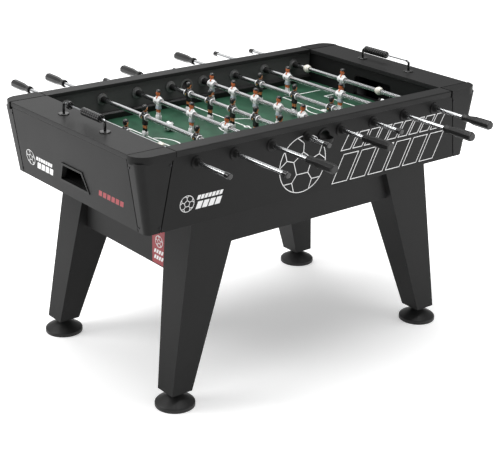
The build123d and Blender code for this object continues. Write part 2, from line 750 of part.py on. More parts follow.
back_panel, right_panel, back_rail = side_panel(), end_panel(), side_rail()
write("side_panel_back", back_panel)
write("side_panel_front", flip_y(back_panel))
write("end_panels", right_panel, flip_x(right_panel))
write("inner_walls", inner_side(), flip_y(inner_side()), inner_end(), flip_x(inner_end()))
write("side_rails", back_rail, flip_y(back_rail))
write("end_decks", end_deck(), flip_x(end_deck()))
write("corner_covers", *four_corners(corner_cover()).values())

field_half = [edge - BOARD_GAP for edge in half_field]
write("playfield", block((-field_half[0], -field_half[1], field_z - FIELD_THICKNESS), (*field_half, field_z)))
write("field_edging", edging(), flip_y(edging()))
write("goal_boxes", goal_box(), flip_x(goal_box()))
bezel, entry = return_bezel(), ball_entry()
write("ball_ports", bezel, flip_x(bezel), entry, flip_y(entry))
housings = [housing(x) for x in rod_x]
write("bearings", *housings, *[flip_y(piece) for piece in housings])

base_half = (end_bottom_x - PANEL_THICKNESS - BOARD_GAP, side_bottom_y - PANEL_THICKNESS - BOARD_GAP)
base_board = block((-base_half[0], -base_half[1], bottom_z), (*base_half, bottom_z + BASE_THICKNESS))
write("base_board", fillet(base_board.edges().filter_by(Axis.Z), PANEL_THICKNESS))
write("aprons", side_apron(), flip_y(side_apron()), end_apron(), flip_x(end_apron()))
for place, piece in four_corners(leg()).items():
    write(f"leg_{place}", piece)
for place, piece in four_corners(foot()).items():
    write(f"foot_{place}", piece)
write("screws", *[piece for screw in screws for piece in four_corners(screw).values()])

counter = score_rail()
write("score_rails", counter, flip_x(counter))
rail_end = POST_SPREAD / 2 - POST_BEND - POST_ARM - BEAD_GAP
bead_run = (BEAD_NUMBER - 1) * (BEAD_THICKNESS + BEAD_GAP) - BEAD_GAP
write("score_bead_left", *beads(-counter_x, rail_end - LEFT_SINGLE_START, 1))
write("score_beads_left", *beads(-counter_x, -rail_end + LEFT_GROUP_END + bead_run, BEAD_NUMBER - 1))
write("score_beads_right", *beads(counter_x, rail_end, BEAD_NUMBER))

player = figure()
for index in range(ROD_NUMBER):
    write_rod(index)
ball_at = (BALL_PLACE[0] * ROD_PITCH, BALL_PLACE[1], field_z + BALL_RADIUS)
write("ball", Pos(*ball_at) * Sphere(BALL_RADIUS))
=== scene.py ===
import json
from math import cos, pi, radians, sin

import bmesh
import bpy
from mathutils import Matrix, Vector

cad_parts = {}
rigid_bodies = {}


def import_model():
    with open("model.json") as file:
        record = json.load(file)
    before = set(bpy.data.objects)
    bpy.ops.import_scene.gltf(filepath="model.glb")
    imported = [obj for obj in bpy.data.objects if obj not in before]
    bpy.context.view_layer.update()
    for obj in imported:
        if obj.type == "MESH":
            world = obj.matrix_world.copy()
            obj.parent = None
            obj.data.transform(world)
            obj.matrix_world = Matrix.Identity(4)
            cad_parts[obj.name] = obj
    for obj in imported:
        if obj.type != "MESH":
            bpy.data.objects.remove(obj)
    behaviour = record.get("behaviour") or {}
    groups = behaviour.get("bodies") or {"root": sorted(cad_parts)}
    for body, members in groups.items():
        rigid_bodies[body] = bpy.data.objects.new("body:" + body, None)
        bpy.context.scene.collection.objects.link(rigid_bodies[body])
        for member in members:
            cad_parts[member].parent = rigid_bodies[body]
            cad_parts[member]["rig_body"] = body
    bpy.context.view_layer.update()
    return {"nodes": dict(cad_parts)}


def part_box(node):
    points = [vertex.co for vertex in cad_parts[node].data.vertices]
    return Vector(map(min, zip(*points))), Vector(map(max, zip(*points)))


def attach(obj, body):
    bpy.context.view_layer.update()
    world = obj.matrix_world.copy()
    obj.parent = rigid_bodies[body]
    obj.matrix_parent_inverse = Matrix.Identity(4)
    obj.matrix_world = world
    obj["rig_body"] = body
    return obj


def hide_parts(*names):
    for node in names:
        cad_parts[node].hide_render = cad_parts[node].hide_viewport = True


# Looks of the foosball table. Metres, +Z up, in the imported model's own frame.
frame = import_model()
MM = 0.001
RODS = range(1, 9)


# Shader maths

class Level:
    """A number that varies over a surface. Arithmetic on it adds Math nodes."""

    def __init__(self, finish, socket):
        self.finish, self.socket = finish, socket

    def math(self, operation, *others):
        return self.finish.node("ShaderNodeMath", {"operation": operation}, dict(enumerate((self, *others))))

    def __add__(self, other):
        return self.math("ADD", other)

    __radd__ = __add__

    def __mul__(self, other):
        return self.math("MULTIPLY", other)

    __rmul__ = __mul__

    def between(self, low, high):
        """0 below low, 1 above high, and a smooth rise between them."""
        inputs = {"Value": self, "From Min": low, "From Max": high}
        return self.finish.node("ShaderNodeMapRange", {"interpolation_type": "SMOOTHSTEP"}, inputs)


class Finish:
    """A material, and the nodes that vary it over a surface."""

    def __init__(self, name, **constants):
        self.material = bpy.data.materials.new(name)
        self.material.use_nodes = True
        self.tree = self.material.node_tree
        self.shader = self.tree.nodes["Principled BSDF"]
        for socket, value in constants.items():
            self.shader.inputs[socket.replace("_", " ")].default_value = value

    def node(self, kind, settings=None, inputs=None, output=0):
        """A node of this kind, with its settings first, and the level that it gives out."""
        made = self.tree.nodes.new(kind)
        for name, value in (settings or {}).items():
            setattr(made, name, value)
        for socket, value in (inputs or {}).items():
            self.plug(made.inputs[socket], value)
        return Level(self, made.outputs[output])

    def plug(self, socket, value):
        if isinstance(value, Level):
            self.tree.links.new(value.socket, socket)
        else:
            socket.default_value = value

    def feed(self, socket, value):
        self.plug(self.shader.inputs[socket], value)

    def place(self):
        """The point of the surface, in metres."""
        return self.node("ShaderNodeTexCoord", output=3)

    def noise(self, scale, detail=3.0, stretch=None):
        where = self.place()
        if stretch:
            where = self.node("ShaderNodeVectorMath", {"operation": "MULTIPLY"}, {0: where, 1: stretch})
        return self.node("ShaderNodeTexNoise", None, {"Vector": where, "Scale": scale, "Detail": detail})

    def blend(self, factor, low, high):
        """From colour low, where factor is 0, to colour high."""
        settings = {"data_type": "RGBA", "clamp_factor": True}
        return self.node("ShaderNodeMix", settings, {0: factor, 6: low, 7: high}, output=2)

    def bump(self, height, depth):
        made = self.node("ShaderNodeBump", None, {"Height": height, "Distance": depth, "Strength": 1.0})
        self.feed("Normal", made)


LAMINATE_SHEEN = 0.15
TURF_BAND = 0.3  # metres from one mown band to the next of its tone
TURF_DARK = (0.007, 0.04, 0.02, 1.0)
TURF_LIGHT = (0.019, 0.088, 0.046, 1.0)
SKIN_DARK_TEAM = (0.72, 0.27, 0.1)
SKIN_LIGHT_TEAM = (0.72, 0.19, 0.06)


def shade(tone, factor=1.0):
    """A colour with its alpha, from a grey level or three levels."""
    levels = (tone, tone, tone) if isinstance(tone, float) else tone
    return (*[min(1.0, level * factor) for level in levels], 1.0)


def laminate(name, tone, roughness):
    """Satin laminate foil: fine embossed specks, faint cloudy tone and handling haze."""
    finish = Finish(name, Specular_IOR_Level=LAMINATE_SHEEN)
    speck = finish.noise(1100.0, 2.0)
    cloud = finish.noise(5.0, 4.0)
    body = speck * 0.6 + cloud * 0.4
    finish.feed("Base Color", finish.blend(body.between(0.25, 0.75), shade(tone, 0.8), shade(tone, 1.22)))
    finish.feed("Roughness", roughness - 0.06 + cloud * 0.1 + speck * 0.04)
    finish.bump(speck, 0.00006)
    return finish.material


def moulded(name, tone, roughness, pebble=700.0, depth=0.00005, coat=0.0, sheen=0.3):
    """Injection-moulded plastic with a fine pebbled skin and slight flow marks."""
    finish = Finish(name, Coat_Weight=coat, Coat_Roughness=0.25, Specular_IOR_Level=sheen)
    skin = finish.noise(pebble, 1.0)
    flow = finish.noise(9.0, 3.0)
    finish.feed("Base Color", finish.blend(flow.between(0.3, 0.7), shade(tone, 0.82), shade(tone, 1.15)))
    finish.feed("Roughness", roughness - 0.05 + flow * 0.1 + skin * 0.03)
    finish.bump(skin, depth)
    return finish.material


def plated(name, tone, roughness):
    """Bright plated steel with fine lengthwise polishing marks and faint smears."""
    finish = Finish(name, Metallic=1.0)
    marks = finish.noise(900.0, 2.0, (1, 0.02, 1))
    smear = finish.noise(14.0, 4.0)
    finish.feed("Base Color", finish.blend(smear.between(0.3, 0.75), shade(tone, 0.93), shade(tone, 1.04)))
    finish.feed("Roughness", roughness + marks * 0.03 + smear * 0.03)
    finish.bump(marks, 0.000001)
    return finish.material


def painted(name, colour, roughness=0.32):
    """Brushed-on figure paint over plastic: slightly uneven, semi-gloss."""
    finish = Finish(name, Coat_Weight=0.15, Coat_Roughness=0.2)
    patch = finish.noise(160.0, 3.0)
    finish.feed("Base Color", finish.blend(patch.between(0.3, 0.7), shade(colour, 0.88), shade(colour, 1.08)))
    finish.feed("Roughness", roughness - 0.05 + patch * 0.12)
    finish.bump(patch, 0.00012)
    return finish.material


def turf_print():
    """Green printed board: mottled print with faint mown bands across the field."""
    finish = Finish("field_green")
    fibre = finish.noise(1400.0, 3.0)
    mottle = finish.noise(24.0, 5.0)
    along = finish.node("ShaderNodeSeparateXYZ", None, {0: finish.place()})
    band = (along * (2 * pi / TURF_BAND)).math("SINE")
    tone = mottle * 0.6 + fibre * 0.4 + band.between(-0.25, 0.25) * 0.12
    finish.feed("Base Color", finish.blend(tone.between(0.2, 0.9), TURF_DARK, TURF_LIGHT))
    finish.feed("Roughness", 0.42 + mottle * 0.12)
    finish.bump(fibre, 0.00005)
    return finish.material


def ink(name, colour):
    """Screen-printed ink: nearly flat, with slight wear in its density."""
    finish = Finish(name)
    density = finish.noise(420.0, 4.0)
    finish.feed("Base Color", finish.blend(density.between(0.25, 0.6), shade(colour, 0.8), shade(colour)))
    finish.feed("Roughness", 0.4 + density * 0.15)
    return finish.material


FINISHES = {
    # Panels and legs are one black laminate in two tones: the panels darker as painted shade, the legs and
    # aprons lighter as painted light.
    "panel": laminate("panel_laminate_painted_shade", 0.008, 0.48),
    "top": laminate("top_laminate", 0.016, 0.42),
    # The long walls and the goal-end walls are one laminate in two tones: lighter on the long walls as
    # painted light, darker on the goal-end walls as painted shade.
    "side_wall_painted_light": laminate("side_wall_laminate_painted_light", 0.085, 0.5),
    "end_wall_painted_shade": laminate("end_wall_laminate_painted_shade", 0.01, 0.5),
    "leg": laminate("leg_laminate_painted_light", 0.012, 0.48),
    "cover": moulded("cover_plastic", 0.008, 0.4, sheen=LAMINATE_SHEEN),
    "edging": moulded("edging_plastic", 0.01, 0.35),
    "foot": moulded("foot_plastic", 0.02, 0.45, 420.0, 0.0001),
    "grip": moulded("grip_plastic", 0.008, 0.28, 500.0, 0.00004, 0.1),
    "bead": moulded("bead_plastic", 0.008, 0.2, coat=0.4),
    "post": moulded("post_plastic", 0.005, 0.2, coat=0.3),
    "sleeve": moulded("sleeve_plastic", 0.012, 0.35),
    "flange": moulded("flange_plastic", 0.012, 0.45, sheen=LAMINATE_SHEEN),
    # Lighter copy of the flange plastic for the field side: a painted highlight.
    "inner_flange_painted_light": moulded("inner_flange_plastic_painted_light", 0.15, 0.35, coat=0.15),
    "cap": moulded("end_cap_plastic", 0.008, 0.18, coat=0.5),
    "chrome": plated("chrome_plate", (0.66, 0.67, 0.68), 0.17),
    "thin_rail": plated("rail_plate", (0.34, 0.35, 0.36), 0.25),
    "screw": plated("screw_plate", (0.03, 0.03, 0.032), 0.42),
    "turf": turf_print(),
    "white_ink": ink("white_ink", 0.8),
    "red_ink": ink("red_ink", (0.3, 0.008, 0.018)),
    "ball_white": painted("ball_white", 0.82, 0.25),
    "ball_black": painted("ball_black", 0.015, 0.25),
    "hair": painted("hair_paint", 0.014, 0.3),
    "tan_skin": painted("tan_skin_paint", SKIN_DARK_TEAM),
    "orange_skin": painted("orange_skin_paint", SKIN_LIGHT_TEAM),
    "black_kit": painted("black_kit_paint", 0.01, 0.3),
    "white_kit": painted("white_kit_paint", 0.82),
    "stop": painted("stop_plastic", (0.7, 0.68, 0.61)),
    "grey_kit": painted("grey_kit_paint", (0.5, 0.56, 0.62)),
    "gold": painted("gold_paint", (0.55, 0.32, 0.1)),
    "feature": painted("feature_paint", (0.06, 0.02, 0.015)),
}


# Pieces

SAME_POINT = 0.02 * MM  # points of a CAD mesh nearer than this are one
JOIN = 0.01 * MM  # the same for a mesh made here
FLAT_ANGLE = 1.0  # degrees; faces that meet flatter than this become one
SHARP_ANGLE = 38.0  # degrees; edges sharper than this are rounded


def add_piece(name, mesh, body, finishes, nodes=(), place=None):
    """Put a mesh in the scene on a body, in these finishes, in the stead of some nodes."""
    piece = bpy.data.objects.new(name, mesh)
    bpy.context.scene.collection.objects.link(piece)
    if not mesh.materials:
        for finish in finishes:
            mesh.materials.append(FINISHES[finish])
    if place is not None:
        piece.matrix_world = place
    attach(piece, body)
    if nodes:
        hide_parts(*nodes)


def finished_mesh(name, bm, smooth_below=35.0):
    """Mesh from the shell bm, smooth except at edges sharper than that many degrees."""
    bmesh.ops.recalc_face_normals(bm, faces=bm.faces)
    mesh = bpy.data.meshes.new(name)
    bm.to_mesh(mesh)
    bm.free()
    mesh.shade_smooth()
    mesh.set_sharp_from_angle(angle=radians(smooth_below))
    return mesh


def dress(node, finish):
    """Give a node that keeps its own shape a finish."""
    data = frame["nodes"][node].data
    data.materials.clear()
    data.materials.append(FINISHES[finish])


def soften(node, width, finish, segments=2, other=None, belongs=None, draw_back=None):
    """Put a copy of a node, with its sharp edges rounded over to this width, in the node's stead.

    Faces whose centre belongs to the node's other part get the other finish.
    """
    bm = bmesh.new()
    bm.from_mesh(frame["nodes"][node].data)
    bmesh.ops.remove_doubles(bm, verts=bm.verts, dist=SAME_POINT)
    bmesh.ops.dissolve_limit(bm, angle_limit=radians(FLAT_ANGLE), verts=bm.verts, edges=bm.edges)
    for face in bm.faces:
        face.material_index = 1 if other and belongs(face.calc_center_median()) else 0
    if draw_back:
        draw_back(bm)
    mesh = bpy.data.meshes.new(node + "_softened")
    bm.to_mesh(mesh)
    bm.free()
    finishes = [finish, other] if other else [finish]
    for item in finishes:
        mesh.materials.append(FINISHES[item])
    raw = bpy.data.objects.new("raw", mesh)
    bpy.context.scene.collection.objects.link(raw)
    bevel = raw.modifiers.new("rounding", "BEVEL")
    bevel.width, bevel.segments = width, segments
    bevel.limit_method, bevel.angle_limit = "ANGLE", radians(SHARP_ANGLE)
    raw.modifiers.new("normals", "WEIGHTED_NORMAL").keep_sharp = True
    raw.data.shade_smooth()
    graph = bpy.context.evaluated_depsgraph_get()
    done = bpy.data.meshes.new_from_object(raw.evaluated_get(graph), depsgraph=graph)
    bpy.data.objects.remove(raw)
    body = frame["nodes"][node]["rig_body"]
    add_piece(node + "_rounded", done, body, finishes, [node])


def solid_boxes(node):
    """Lowest and highest corner of each separate solid of a node."""
    bm = bmesh.new()
    bm.from_mesh(frame["nodes"][node].data)
    bmesh.ops.remove_doubles(bm, verts=bm.verts, dist=SAME_POINT)
    left, boxes = set(bm.verts), []
    while left:
        grown = [left.pop()]
        points = []
        while grown:
            vert = grown.pop()
            points.append(vert.co.copy())
            for edge in vert.link_edges:
                other = edge.other_vert(vert)
                if other in left:
                    left.remove(other)
                    grown.append(other)
        boxes.append([Vector([pick(p[i] for p in points) for i in range(3)]) for pick in (min, max)])
    bm.free()
    return boxes


def loft(bm, rings, material):
    """Closed shell through rings with equal numbers of points."""
    rows = [[bm.verts.new(point) for point in ring] for ring in rings]
    faces = [bm.faces.new(reversed(rows[0])), bm.faces.new(rows[-1])]
    for low, high in zip(rows, rows[1:]):
        for i in range(len(low)):
            j = (i + 1) % len(low)
            faces.append(bm.faces.new((low[i], low[j], high[j], high[i])))
    for face in faces:
        face.material_index = material


def oval(x, y, z, half_x, half_y, power, count):
    """Upright loft's ring: an ellipse, squarer with a higher power."""
    ring = []
    for step in range(count):
        turn = 2 * pi * step / count
        across, along = cos(turn), sin(turn)
        reach = (abs(across) ** power + abs(along) ** power) ** (-1 / power)
        ring.append(Vector((x + half_x * across * reach, y + half_y * along * reach, z)))
    return ring


def turned(bm, profile, material, count):
    """Closed shell turned about the Y axis from (radius, y) points."""
    turns = [2 * pi * i / count for i in range(count)]
    rings = [[Vector((r * cos(turn), y, r * sin(turn))) for turn in turns] for r, y in profile]
    loft(bm, rings, material)


def blob(bm, centre, halves, material, count):
    """Ellipsoid."""
    place = Matrix.Translation(centre) @ Matrix.Diagonal((*halves, 1.0))
    bands = count // 2 + 2
    made = bmesh.ops.create_uvsphere(bm, u_segments=count, v_segments=bands, radius=1.0, matrix=place)
    for face in {face for vert in made["verts"] for face in vert.link_faces}:
        face.material_index = material


# Cabinet boards, covers and legs

BOARD_EDGE = 0.8 * MM
PANEL_EDGE = 1.4 * MM
RAIL_EDGE = 1.2 * MM
DECK_EDGE = 1.6 * MM
COVER_EDGE = 2.4 * MM
LEG_EDGE = 1.2 * MM
FOOT_EDGE = 1.5 * MM
GRIP_EDGE = 0.6 * MM
SEAM_OPENING = 3.4 * MM
SEAM_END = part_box("corner_covers")[1] - Vector((60, 34, 0)) * MM  # beyond it lie the covers' outer walls
FIELD_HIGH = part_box("playfield")[1]
END_WALL_AT = FIELD_HIGH.x - 14 * MM
INNER_FLANGE_AT = (FIELD_HIGH.y - 9 * MM, FIELD_HIGH.y + 3 * MM)


def open_seams(bm):
    """Draw the covers' edges back from the boards, so that their seams show as dark lines."""
    moves = {}
    for axis, limit in ((0, SEAM_END.x), (1, SEAM_END.y)):
        for face in bm.faces:
            centre = face.calc_center_median()
            side = 1 if centre[axis] > 0 else -1
            if face.normal[axis] * side < -0.9 and abs(centre[axis]) < limit:
                for vert in face.verts:
                    moves[vert, axis] = side * SEAM_OPENING
    for (vert, axis), move in moves.items():
        vert.co[axis] += move


def on_end_wall(centre):
    """Whether a face lies on a wall behind a goal line."""
    return abs(centre.x) > END_WALL_AT


def on_inner_flange(centre):
    """Whether a face lies on a flange against the field's long wall."""
    low, high = INNER_FLANGE_AT
    return low < abs(centre.y) < high


# The panels take the darker copy of the black laminate, with its painted shade.
for node in ("side_panel_front", "side_panel_back", "end_panels"):
    soften(node, PANEL_EDGE, "panel")
# Painted light and shade: the goal-end faces take the darker copy of the wall laminate, the long walls the
# lighter one.
soften("inner_walls", BOARD_EDGE, "side_wall_painted_light", other="end_wall_painted_shade", belongs=on_end_wall)
soften("side_rails", RAIL_EDGE, "top")
soften("end_decks", DECK_EDGE, "top")
soften("corner_covers", COVER_EDGE, "cover", 3, draw_back=open_seams)
# Legs and aprons take the lighter copy of the same laminate, with its painted light.
for corner in ("left_back", "left_front", "right_back", "right_front"):
    soften("leg_" + corner, LEG_EDGE, "leg")
    soften("foot_" + corner, FOOT_EDGE, "foot", 3)
soften("aprons", BOARD_EDGE, "leg")
soften("field_edging", BOARD_EDGE, "edging")
# The flanges' field-side faces take the lighter copy of the flange plastic, with its painted highlight.
for node in ("ball_ports", "bearings"):
    soften(node, BOARD_EDGE, "flange", other="inner_flange_painted_light", belongs=on_inner_flange)
# The base board takes the darker copy of the wall laminate, the one with painted shade.
dress("base_board", "end_wall_painted_shade")
dress("goal_boxes", "edging")
dress("playfield", "turf")
dress("screws", "screw")
for k in RODS:
    dress(f"rod_{k}", "chrome")
    dress(f"bushes_{k}", "sleeve")
    hand = max(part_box(f"grip_{k}"), key=lambda corner: abs(corner.y)).y
    soften(
        f"grip_{k}", GRIP_EDGE, "grip", other="cap",
        belongs=lambda centre: centre.y * hand < 0,
    )


# Printed marks

MITRE_LIMIT = 0.35  # a corner is mitred as if it were no sharper than this
PRINT = 0.15 * MM  # how far a printed layer stands out
PRINT_SINK = 1.3  # its whole thickness, sunk part included, over that


def ribbon(points, width, closed=False):
    """Quads, as points in a plane, along a line of that width with mitred corners."""
    count = len(points)
    sides = []
    for i, point in enumerate(points):
        before = points[i - 1] if i or closed else points[i]
        after = points[(i + 1) % count] if i < count - 1 or closed else points[i]
        come = (point - before).normalized() if point != before else (after - point).normalized()
        go = (after - point).normalized() if after != point else come
        mean = (come + go).normalized()
        normal = Vector((-mean.y, mean.x))
        reach = width / 2 / max(MITRE_LIMIT, normal.dot(Vector((-come.y, come.x))))
        sides.append((point + normal * reach, point - normal * reach))
    pairs = list(zip(sides, sides[1:] + sides[:1]))
    return [(a[0], a[1], b[1], b[0]) for a, b in (pairs if closed else pairs[:-1])]


def arc(x, y, radius, start=0.0, end=2 * pi, count=64):
    """Points along an arc of that radius round (x, y), both ends included."""
    turns = [start + (end - start) * i / count for i in range(count + 1)]
    return [Vector((x + radius * cos(turn), y + radius * sin(turn))) for turn in turns]


def circle(x, y, radius, count=64):
    """Points round a whole circle, each once."""
    return arc(x, y, radius, count=count)[:-1]


def rectangle(x0, y0, x1, y1, slant=0.0):
    """Corners of a rectangle whose upper edge is shifted by the slant."""
    return [Vector(corner) for corner in ((x0, y0), (x1, y0), (x1 + slant, y1), (x0 + slant, y1))]


def print_on(name, shapes, plane, finish="white_ink"):
    """Thin printed layer made of flat polygons in a plane's own axes, sunk slightly into its board."""
    bm = bmesh.new()
    for shape in shapes:
        bm.faces.new([bm.verts.new(plane @ Vector((p.x, p.y, PRINT))) for p in shape])
    bmesh.ops.remove_doubles(bm, verts=bm.verts, dist=JOIN)
    made = bmesh.ops.extrude_face_region(bm, geom=bm.faces[:])
    moved = [item for item in made["geom"] if isinstance(item, bmesh.types.BMVert)]
    normal = plane.to_3x3() @ Vector((0, 0, 1))
    bmesh.ops.translate(bm, verts=moved, vec=-normal * PRINT * PRINT_SINK)
    add_piece(name, finished_mesh(name, bm), "cabinet", [finish])


def leaning_plane(node, axis, side):
    """Plane of a leaning panel's outer face: u to the right seen from outside, v up from the floor."""
    low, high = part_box(node)
    points = [vert.co for vert in frame["nodes"][node].data.vertices]
    bottom, top = [side * max(side * p[axis] for p in points if abs(p.z - z) < MM) for z in (low.z, high.z)]
    lean = (top - bottom) / (high.z - low.z)
    up, right, origin = Vector((0, 0, 1)), Vector((0, 0, 0)), Vector((0, 0, 0))
    up[axis] = lean
    right[1 - axis] = side if axis == 0 else -side
    origin[axis] = bottom - lean * low.z
    plane = Matrix((right, up, right.cross(up).normalized())).transposed().to_4x4()
    plane.translation = origin
    return plane


FIELD_LINE = 5.5 * MM
PENALTY_HALF = 0.222
PENALTY_REACH = 0.256
GOAL_AREA_HALF = 0.145
GOAL_AREA_REACH = 0.11
ARC_RADIUS = 0.093
ARC_BEHIND = 0.046
ARC_HALF_TURN = 1.0
SPOT_REACH = 0.243
SPOT_RADIUS = 11 * MM
CENTRE_RADIUS = 0.1
EDGING_REACH = 14.5 * MM  # the edging covers the field's long edges by this


def field_marks():
    """White lines of the field: halfway line and circle, and each end's areas, arc and spot."""
    half_y = FIELD_HIGH.y - EDGING_REACH
    shapes = ribbon([Vector((0, -half_y)), Vector((0, half_y))], FIELD_LINE)
    shapes += ribbon(circle(0, 0, CENTRE_RADIUS), FIELD_LINE, True)
    shapes.append(circle(0, 0, 2 * FIELD_LINE))
    for side in (-1, 1):
        goal = side * FIELD_HIGH.x
        for half, reach in ((PENALTY_HALF, PENALTY_REACH), (GOAL_AREA_HALF, GOAL_AREA_REACH)):
            front = goal - side * reach
            corners = [(goal, half), (front, half), (front, -half), (goal, -half)]
            shapes += ribbon([Vector(corner) for corner in corners], FIELD_LINE)
        centre = goal - side * (PENALTY_REACH - ARC_BEHIND)
        turn = 0 if side < 0 else pi
        bow = arc(centre, 0, ARC_RADIUS, turn - ARC_HALF_TURN, turn + ARC_HALF_TURN, 24)
        shapes += ribbon(bow, FIELD_LINE)
        shapes.append(circle(goal - side * SPOT_REACH, 0, SPOT_RADIUS, 24))
    return shapes


top_of_field = Matrix.Translation((0, 0, FIELD_HIGH.z))
print_on("field_lines", field_marks(), top_of_field)

EMBLEM_PENTAGON = 0.42  # shares of the emblem's radius
EMBLEM_FORK = 0.74
EMBLEM_SPREAD = 0.3  # radians between a spoke and each end of its fork


def ball_emblem(x, y, radius, width):
    """Outline football: a circle, a pentagon and its forked spokes."""
    def at(share, turn):
        return Vector((x + share * radius * sin(turn), y + share * radius * cos(turn)))

    turns = [2 * pi * i / 5 for i in range(5)]
    shapes = ribbon(circle(x, y, radius), width, True)
    shapes += ribbon([at(EMBLEM_PENTAGON, turn) for turn in turns], width, True)
    for turn in turns:
        fork = at(EMBLEM_FORK, turn)
        shapes += ribbon([at(EMBLEM_PENTAGON, turn), fork], width)
        for way in (-EMBLEM_SPREAD, EMBLEM_SPREAD):
            shapes += ribbon([fork, at(1.0, turn + way)], width)
    return shapes


def slanted_bars(x0, x1, y0, y1, count, slant, gap, width=None):
    """Row of slanted bars, solid, or outlined where a line width is given."""
    shapes = []
    pitch = (x1 - x0 - slant) / count
    for i in range(count):
        left, right = x0 + i * pitch, x0 + (i + 1) * pitch - gap
        corners = rectangle(left, y0, right, y1, slant)
        shapes += ribbon(corners, width, True) if width else [corners]
    return shapes


OUTLINE = 2.8 * MM
BADGE_LINE = 2.0 * MM
LABEL_LINE = 2.2 * MM
LABEL = (0.078, 0.125)  # width and height
LABEL_PLACE = (0.153, 0.004)  # its lower corner, from the table's middle and the apron's lower edge
LABEL_BALL = (0.082, 0.02)  # height of its centre in the label, and radius
LABEL_ROWS = ((0.038, 0.052), (0.016, 0.03))

front_face = leaning_plane("side_panel_front", 1, -1)
shapes = ball_emblem(-0.085, 0.762, 0.1, OUTLINE)
shapes += slanted_bars(0.085, 0.6, 0.776, 0.83, 9, 0.03, 0.012, OUTLINE)
shapes += slanted_bars(0.055, 0.605, 0.662, 0.76, 6, 0.045, 0.016, OUTLINE)
print_on("front_graphic", shapes, front_face)
shapes = ball_emblem(-0.557, 0.722, 0.027, BADGE_LINE)
shapes += slanted_bars(-0.52, -0.412, 0.728, 0.742, 7, 0.006, 0.003)
shapes += slanted_bars(-0.524, -0.414, 0.697, 0.721, 4, 0.01, 0.005)
print_on("front_badge", shapes, front_face)

left_face = leaning_plane("end_panels", 0, -1)
shapes = ball_emblem(-0.28, 0.724, 0.027, BADGE_LINE)
shapes += slanted_bars(-0.243, -0.13, 0.724, 0.738, 7, 0.006, 0.003)
shapes += slanted_bars(-0.245, -0.128, 0.694, 0.718, 4, 0.01, 0.005)
print_on("left_badge", shapes, left_face)
shapes = slanted_bars(0.145, 0.3, 0.71, 0.73, 6, 0.008, 0.006)
print_on("left_bars", shapes, left_face, "red_ink")

apron_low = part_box("aprons")[0]
upright = Matrix(((0, 0, -1, 0), (-1, 0, 0, 0), (0, 1, 0, 0), (0, 0, 0, 1)))
apron_plane = Matrix.Translation((apron_low.x, 0, 0)) @ upright
left, bottom = LABEL_PLACE[0], LABEL_PLACE[1] + apron_low.z
middle = left + LABEL[0] / 2
print_on("apron_label", [rectangle(left, bottom, left + LABEL[0], bottom + LABEL[1])], apron_plane, "red_ink")
shapes = ball_emblem(middle, bottom + LABEL_BALL[0], LABEL_BALL[1], LABEL_LINE)
for low, high in LABEL_ROWS:
    shapes += slanted_bars(middle - 0.03, middle + 0.03, bottom + low, bottom + high, 4, 0.006, 0.004)
print_on("apron_label_print", shapes, apron_plane @ Matrix.Translation((0, 0, PRINT)))


# Figures

SKIN, HAIR, SHIRT, TRIM, SHORTS, SOCK, SHOE, BADGE, FEATURE = range(9)
TEAMS = {  # finishes in the order of the parts above
    "dark": [
        "tan_skin", "hair", "black_kit", "white_kit", "black_kit",
        "black_kit", "white_kit", "gold", "feature",
    ],
    "light": [
        "orange_skin", "hair", "white_kit", "white_kit", "grey_kit",
        "white_kit", "white_kit", "hair", "feature",
    ],
}
BODY_RINGS = [
    (-17.5, 7.4, 9.6), (-15.5, 7.8, 10.2), (-9.0, 8.2, 11.0), (-2.0, 8.8, 12.8), (5.0, 9.3, 15.0),
    (10.5, 9.0, 15.4), (14.0, 7.8, 13.6), (16.8, 5.8, 9.6), (18.5, 4.2, 5.6),
]
SHORT_RINGS = [(-29.0, 8.2, 11.6), (-28.0, 8.8, 12.2), (-22.0, 8.4, 11.4), (-16.0, 7.5, 9.8)]
LEG_RINGS = [(-43.5, 3.9), (-40.0, 4.2), (-36.0, 4.7), (-32.0, 4.6), (-26.0, 5.0)]
SOCK_RINGS = [(-54.0, 4.3), (-48.0, 4.8), (-43.0, 5.0), (-41.5, 4.6)]
SHOE_RINGS = [
    (-70.0, 8.2, 9.6), (-69.0, 9.2, 10.7), (-63.0, 9.4, 11.0), (-57.0, 8.8, 10.8), (-52.5, 7.6, 10.0),
    (-50.5, 6.0, 8.6),
]


BOSS_PROFILE = [(9.0, -15.0), (11.6, -15.0), (12.3, -14.2), (12.3, 14.2), (11.6, 15.0), (9.0, 15.0)]
CUFF_PROFILE = [
    (8.2, 14.2), (10.6, 16.8), (11.8, 16.8), (12.7, 15.6), (12.9, 13.0), (12.2, 12.0), (9.0, 12.0),
]
NECK = [
    ((0.3, 0, 20.0), (5.0, 5.0, 7.0)), ((5.2, 0, 14.0), (4.3, 4.6, 5.5)), ((7.6, 0, 10.4), (2.4, 1.8, 4.0)),
]
HEAD_RINGS = [
    (19.6, 0.6, 4.0, 4.2), (21.5, 0.9, 6.6, 6.2), (25.0, 0.6, 8.3, 7.7), (30.0, 0.2, 8.9, 8.4),
    (34.0, 0.0, 8.9, 8.5), (37.5, 0.0, 7.9, 7.7), (40.0, 0.0, 5.6, 5.6), (41.4, 0.0, 2.5, 2.5),
]
HAIR_RINGS = [
    (23.5, -5.0, 3.6, 6.8), (26.5, -4.2, 5.6, 8.4), (30.0, -3.2, 6.8, 9.2), (33.0, -1.6, 8.6, 9.5),
    (35.2, 0.0, 9.8, 9.5), (38.5, 0.0, 8.8, 8.7), (41.2, 0.0, 6.2, 6.2), (42.8, 0.0, 2.6, 2.6),
]
NOSE = ((9.2, 0, 29.2), (2.0, 1.5, 2.4), SKIN, 10)
MOUTH = ((8.4, 0, 25.0), (0.6, 2.0, 0.5), FEATURE, 8)
LEG_OUT = 5.6
BADGE_PLACE = (11.5, -4.0, -2.0)  # on the chest of a player that looks to +X


